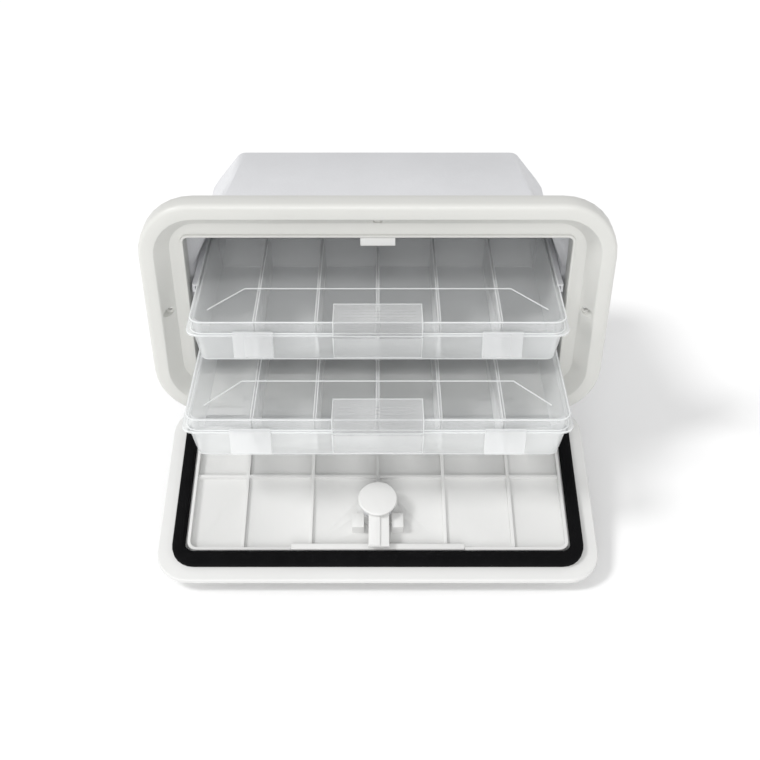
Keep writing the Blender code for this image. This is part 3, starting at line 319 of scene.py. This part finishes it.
def grow(name, tree, seed, body, nodes, slot, **values):
    """Runs a tree on a seed mesh, attaches the plain result to its body and hides the nodes it stands for."""
    piece = bpy.data.objects.new(name, seed)
    SCENE.collection.objects.link(piece)
    step = piece.modifiers.new(tree.name, "NODES")
    step.node_group = tree
    for item in tree.interface.items_tree:
        if item.in_out == "INPUT" and item.name in values:
            step[item.identifier] = values[item.name]
    piece.data = plain_mesh(piece)
    piece.data.shade_smooth()
    piece.data.set_sharp_from_angle(angle=radians(40))
    adopt(piece, body, nodes)
    print(name, len(piece.data.polygons), "faces")
    return piece


print("tree helpers ready")

# %% [markdown]
# Screws hold the housing to the bezel's collar, the runners to the housing and the keeper to the collar. Each is a
# pan head with a cross recess on a plain shank. One screw is turned, and the tree stands a copy on every point and
# turns it to the point's own aim, which is stored as an attribute.

# %% Screw tree
tree, start, end = new_tree("screw_stand", Screw="Object", Material="Material")
fetch = tree.nodes.new("GeometryNodeObjectInfo")
aim = tree.nodes.new("GeometryNodeInputNamedAttribute")
aim.data_type = "FLOAT_VECTOR"
aim.inputs["Name"].default_value = "aim"
turn = tree.nodes.new("FunctionNodeAlignRotationToVector")
turn.axis = "Z"
stand = tree.nodes.new("GeometryNodeInstanceOnPoints")
tree.links.new(start.outputs["Screw"], fetch.inputs["Object"])
tree.links.new(aim.outputs["Attribute"], turn.inputs["Vector"])
tree.links.new(start.outputs["Geometry"], stand.inputs["Points"])
tree.links.new(fetch.outputs["Geometry"], stand.inputs["Instance"])
tree.links.new(turn.outputs["Rotation"], stand.inputs["Rotation"])
close_tree(tree, start, end, stand.outputs["Instances"])
screw_tree = tree
print("screw tree has", len(tree.nodes), "nodes")

# %% Screw model
HEAD_R, HEAD_RISE = 3 * MM, 1.8 * MM        # pan head


def turned_mesh(profile, sides):
    """A closed mesh turned about Z from (radius, height) pairs."""
    work = bmesh.new()
    rings = [
        [work.verts.new((r * cos(2 * pi * k / sides), r * sin(2 * pi * k / sides), z)) for k in range(sides)]
        for r, z in profile
    ]
    for low, high in zip(rings, rings[1:]):
        for k in range(sides):
            work.faces.new((low[k], low[(k + 1) % sides], high[(k + 1) % sides], high[k]))
    work.faces.new(reversed(rings[0]))
    work.faces.new(rings[-1])
    bmesh.ops.recalc_face_normals(work, faces=work.faces)
    return work


def stand_in(name, work):
    """An object in the scene made from a bmesh."""
    mesh = bpy.data.meshes.new(name)
    work.to_mesh(mesh)
    work.free()
    piece = bpy.data.objects.new(name, mesh)
    SCENE.collection.objects.link(piece)
    return piece


def slab(work, low, high):
    """Adds a box between two corners to a bmesh."""
    for vert in bmesh.ops.create_cube(work, size=1.0)["verts"]:
        vert.co = Vector([(low[k] + high[k]) / 2 + vert.co[k] * (high[k] - low[k]) for k in range(3)])


def screw_model(length):
    """A pan-head screw along +Z, its seat at the origin, with a cross cut into its head."""
    head, rise, arm = HEAD_R, HEAD_RISE, (1.3 * MM, 0.3 * MM)
    dome = [(head * cos(a), rise * (0.45 + 0.54 * sin(a))) for a in (pi / 2 * k / 6 for k in range(6))]
    profile = [(0.4 * MM, -length), (1.5 * MM, -length + 1 * MM), (1.5 * MM, 0.3 * MM), (head, 0.3 * MM)]
    body = stand_in("screw_model", turned_mesh(profile + dome, 20))
    for wide, thin in (arm, arm[::-1]):
        cut = bmesh.new()
        slab(cut, (-wide, -thin, rise - 0.8 * MM), (wide, thin, rise + 0.8 * MM))
        cutter = stand_in("slot", cut)
        step = body.modifiers.new("slot", "BOOLEAN")
        step.operation, step.object = "DIFFERENCE", cutter
        body.data = plain_mesh(body)
        bpy.data.objects.remove(cutter)
    return body


print("screw head", round(2 * HEAD_R / MM, 1), "mm across")

# %% Screws where the measured ones are


def screw_points(names):
    """Seats of the screws, with the way each one's head faces, read from the measured nodes."""
    places, aims = [], []
    for name in names:
        low, high = (Vector(v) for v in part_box(name))
        size, middle = high - low, (low + high) / 2
        axis = min(range(3), key=lambda k: abs(size[k] - 2 * HEAD_R) < 0.05 * MM)
        points = [v.co for v in NODES[name].data.vertices]
        across = [(p[axis - 1] - middle[axis - 1]) ** 2 + (p[axis - 2] - middle[axis - 2]) ** 2 for p in points]
        wide = [p for p, square in zip(points, across) if square > (0.87 * HEAD_R) ** 2]
        sign = 1 if sum(p[axis] for p in wide) / len(wide) > middle[axis] else -1
        face = max(p[axis] * sign for p in points)
        seat = middle.copy()
        seat[axis] = (face - HEAD_RISE - 0.3 * MM) * sign
        way = Vector((0, 0, 0))
        way[axis] = sign
        places.append(seat)
        aims.append(way)
    mesh = bpy.data.meshes.new("screw_points")
    mesh.from_pydata(places, [], [])
    store = mesh.attributes.new("aim", "FLOAT_VECTOR", "POINT")
    for k, way in enumerate(aims):
        store.data[k].vector = way
    return mesh


screws = sorted(name for name in NODES if "_screw_" in name and BODY_OF[name] == "hatch")
model = screw_model(5.0 * MM)
grow(
    "hatch_screws", screw_tree, screw_points(screws), "hatch", screws, "stainless_steel",
    Screw=model, Material=stainless,
)
bpy.data.objects.remove(model)
softened("cam_screw", 0.2 * MM)
print(len(screws), "screws stand on the hatch")

# %% [markdown]
# A tray's edges read as bright lines, because light gathers in the thick rims of clear plastic. Thin beads follow those
# edges: the lid's top and skirt, the ridge moulded on the lid, the tub's flange and foot. Their whiter, denser plastic
# is a painted highlight that stands in for that gathered light.
# The tree turns each seed path into a curve and sweeps a round section along it.

# %% Bead tree
tree, start, end = new_tree("bead_sweep", Radius="Float", Material="Material")
curve = tree.nodes.new("GeometryNodeMeshToCurve")
section = tree.nodes.new("GeometryNodeCurvePrimitiveCircle")
section.inputs["Resolution"].default_value = 8
sweep = tree.nodes.new("GeometryNodeCurveToMesh")
sweep.inputs["Fill Caps"].default_value = True
tree.links.new(start.outputs["Geometry"], curve.inputs["Mesh"])
tree.links.new(start.outputs["Radius"], section.inputs["Radius"])
tree.links.new(curve.outputs["Curve"], sweep.inputs["Curve"])
tree.links.new(section.outputs["Curve"], sweep.inputs["Profile Curve"])
close_tree(tree, start, end, sweep.outputs["Mesh"])
bead_tree = tree
print("bead tree has", len(tree.nodes), "nodes")

# %% Bead paths


def path_mesh(paths):
    """A mesh of edges from (points, closed) pairs."""
    verts, edges = [], []
    for points, closed in paths:
        first = len(verts)
        verts += [tuple(p) for p in points]
        edges += [(first + k, first + k + 1) for k in range(len(points) - 1)]
        if closed:
            edges.append((len(verts) - 1, first))
    mesh = bpy.data.meshes.new("paths")
    mesh.from_pydata(verts, edges, [])
    return mesh


def round_path(half, y0, y1, z, radius, steps=7):
    """A rounded rectangle in a level plane, as a closed path."""
    points = []
    for cx, cy, turn in (
        (half - radius, y1 - radius, 0.0), (radius - half, y1 - radius, 0.5),
        (radius - half, y0 + radius, 1.0), (half - radius, y0 + radius, 1.5),
    ):
        for k in range(steps + 1):
            a = pi * (turn + 0.5 * k / steps)
            points.append((cx + radius * cos(a), cy + radius * sin(a), z))
    return points, True


print("a round path has", len(round_path(1.0, 0.0, 1.0, 0.0, 0.1)[0]), "points")

# %% Beads on both trays
PAD_OUT, PAD_RISE = 3.4 * MM, 1.2 * MM      # pull pad ahead of and above the lid
PAD_HALF, PAD_BACK = 41 * MM, 29 * MM
TONGUE_Y, TONGUE_Z = 5.2 * MM, -42.5 * MM   # foot of the pad on the tub, from the lid's front edge
SKIRT, FLANGE = 13.3 * MM, 2 * MM           # lid's skirt and the tub's flange
TRAY_DEPTH, CORNER = 190 * MM, 12 * MM
LID_BEAD, TUB_BEAD = 0.62 * MM, 0.85 * MM   # radius of a bead
LID_IN, FOOT_IN = 4 * MM, 11.8 * MM         # lid and tub's foot inside the flange's edge


def tray_place(tray):
    """The lid's front edge and top, and the half width of the tub's flange, from the measured boxes."""
    low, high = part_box(tray + "_lid")
    _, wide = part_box(tray + "_base")
    return low[1] + PAD_OUT, high[2] - PAD_RISE, wide[0]


def inset_path(half, y0, y1, z, radius, inset):
    """A rounded rectangle, drawn in from its edge."""
    return round_path(half - inset, y0 + inset, y1 - inset, z, radius - inset)


for tray in TRAYS:
    front, top, half = tray_place(tray)
    lid, back = half - LID_IN, front - 0.8 * MM + TRAY_DEPTH
    ridge_y, ridge_x, end_x = front + 58 * MM, lid - 47 * MM, lid - 16 * MM
    end_y, out, up = ridge_y - 37 * MM, front - PAD_OUT, top + PAD_RISE
    ridge = [(-end_x, end_y), (-ridge_x, ridge_y), (ridge_x, ridge_y), (end_x, end_y)]
    pad = [(front + PAD_BACK, up), (out, up), (out, top - SKIRT)]
    pad_edge = [(-PAD_HALF, y, z) for y, z in pad] + [(PAD_HALF, y, z) for y, z in reversed(pad)]
    lid_paths = [
        (pad_edge, True),
        inset_path(lid, front, back - LID_IN, top - 0.7 * MM, CORNER, 0.6 * MM),
        inset_path(lid, front, back - LID_IN, top - SKIRT + 0.7 * MM, CORNER, 0.5 * MM),
        ([(x, y, top + 0.3 * MM) for x, y in ridge], False),
    ]
    # The lid's beads carry the painted rim highlight.
    grow(
        tray + "_lid_beads", bead_tree, path_mesh(lid_paths), BODY_OF[tray + "_lid"], [], "clear_plastic",
        Radius=LID_BEAD, Material=rim_highlight_plastic,
    )
    flange = top - SKIRT - 0.3 * MM - FLANGE / 2
    foot_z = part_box(tray + "_base")[0][2]
    tongue = [(front - PAD_OUT, flange - FLANGE / 2), (front + TONGUE_Y, top + TONGUE_Z)]
    tongue_edge = [(-PAD_HALF, y, z) for y, z in tongue] + [(PAD_HALF, y, z) for y, z in reversed(tongue)]
    tub_paths = [
        (tongue_edge, False),
        round_path(half - 1 * MM, front + 0.2 * MM, back - 1 * MM, flange, CORNER - 1 * MM),
        round_path(half - FOOT_IN, front + FOOT_IN - LID_IN, back - FOOT_IN, foot_z + 1.8 * MM, CORNER * 0.65),
    ]
    # The tub's beads carry the painted rim highlight.
    grow(
        tray + "_tub_beads", bead_tree, path_mesh(tub_paths), tray, [], "clear_plastic",
        Radius=TUB_BEAD, Material=rim_highlight_plastic,
    )

# %% [markdown]
# Five loose dividers split each tub. A real one is a thin plate with a thicker top edge and a rib down each end where
# it drops into its groove. One is modelled, and the tree stands it along the tray at an even pitch, so that the count
# and pitch are two inputs and not five copies.

# %% Divider tree
tree, start, end = new_tree(
    "divider_row", Divider="Object", Count="Int", First="Vector", Step="Vector", Material="Material",
)
line = tree.nodes.new("GeometryNodeMeshLine")
line.mode = "OFFSET"
fetch = tree.nodes.new("GeometryNodeObjectInfo")
stand = tree.nodes.new("GeometryNodeInstanceOnPoints")
tree.links.new(start.outputs["Count"], line.inputs["Count"])
tree.links.new(start.outputs["First"], line.inputs["Start Location"])
tree.links.new(start.outputs["Step"], line.inputs["Offset"])
tree.links.new(start.outputs["Divider"], fetch.inputs["Object"])
tree.links.new(line.outputs["Mesh"], stand.inputs["Points"])
tree.links.new(fetch.outputs["Geometry"], stand.inputs["Instance"])
close_tree(tree, start, end, stand.outputs["Instances"])
divider_tree = tree
print("divider tree has", len(tree.nodes), "nodes")

# %% Dividers
FOOT_FLARE = 3.6                            # a divider's foot, against its plate


def divider_model(node):
    """One divider at x = 0: the measured plate, a foot that flares, a thicker top edge and two end ribs."""
    low, high = (Vector(v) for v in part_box(node))
    middle = (low.x + high.x) / 2
    work = bmesh.new()
    work.from_mesh(NODES[node].data)
    bmesh.ops.remove_doubles(work, verts=work.verts, dist=2e-6)
    bmesh.ops.translate(work, verts=work.verts, vec=(-middle, 0, 0))
    edge, rib = 1.5 * MM, 1.2 * MM
    slab(work, (-edge, low.y, high.z - 1.6 * MM), (edge, high.y, high.z))
    neck = low.z + (high.z - low.z) * 0.72
    slab(work, (-rib, low.y, neck), (rib, low.y + 2 * MM, high.z - 1.6 * MM))
    slab(work, (-rib, high.y - 2 * MM, neck), (rib, high.y, high.z - 1.6 * MM))
    for vert in work.verts:
        if vert.co.z < low.z + 0.1 * MM:
            vert.co.x *= FOOT_FLARE
    return stand_in("divider_model", work)


for tray in TRAYS:
    names = sorted(name for name in NODES if name.startswith(tray + "_divider"))
    centres = [sum(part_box(name)[k][0] for k in (0, 1)) / 2 for name in names]
    model = divider_model(names[0])
    first, pitch = (centres[0], 0.0, 0.0), (centres[1] - centres[0], 0.0, 0.0)
    grow(
        tray + "_dividers", divider_tree, bpy.data.meshes.new("none"), tray, names, "clear_plastic",
        Divider=model, Count=len(names), First=first, Step=pitch, Material=divider_plastic,
    )
    bpy.data.objects.remove(model)

# %% [markdown]
# The pull pad in the middle of each tray is thicker than the walls, so it reads whiter. A film of denser plastic lies
# over it: one piece on the lid's top and skirt, and one on the tub's sloping front, because they part when the lid
# opens. The lid's piece has three finger ribs. Both are boxes with rounded edges, since the real pad is flat.

# %% Pull pads
SKIN = 0.15 * MM


def pad_film(name, body, work):
    """A bmesh, its edges rounded, as the skin of a pull pad."""
    piece = stand_in(name, work)
    piece.data.materials.append(pad_plastic)
    soft = piece.modifiers.new("bevel", "BEVEL")
    soft.width, soft.segments = 0.2 * MM, 2
    piece.data = plain_mesh(piece)
    piece.data.shade_smooth()
    adopt(piece, body, [])
    return piece


for tray in TRAYS:
    front, top, _ = tray_place(tray)
    out, up = front - PAD_OUT, top + PAD_RISE
    work = bmesh.new()
    slab(work, (-PAD_HALF, out - SKIN, up - 0.4 * MM), (PAD_HALF, front + PAD_BACK, up + SKIN))
    slab(work, (-PAD_HALF, out - SKIN, top - SKIRT), (PAD_HALF, out + 0.6 * MM, up - 0.4 * MM))
    for rib in (front + 6 * MM, front + 11 * MM, front + 16 * MM):
        slab(work, (6 * MM - PAD_HALF, rib, up), (PAD_HALF - 6 * MM, rib + 1.2 * MM, up + 0.5 * MM))
    pad_film(tray + "_lid_pad", BODY_OF[tray + "_lid"], work)
    work = bmesh.new()
    slab(work, (-PAD_HALF, -SKIN, -0.5), (PAD_HALF, 0.6 * MM, 0.5))
    head = Vector((0, out, top - SKIRT - FLANGE - 0.6 * MM))
    foot = Vector((0, front + TONGUE_Y, top + TONGUE_Z))
    for vert in work.verts:
        end = head if vert.co.z > 0 else foot
        vert.co = (vert.co.x, end.y + vert.co.y, end.z)
    pad_film(tray + "_tub_pad", tray, work)
print("pull pads made")
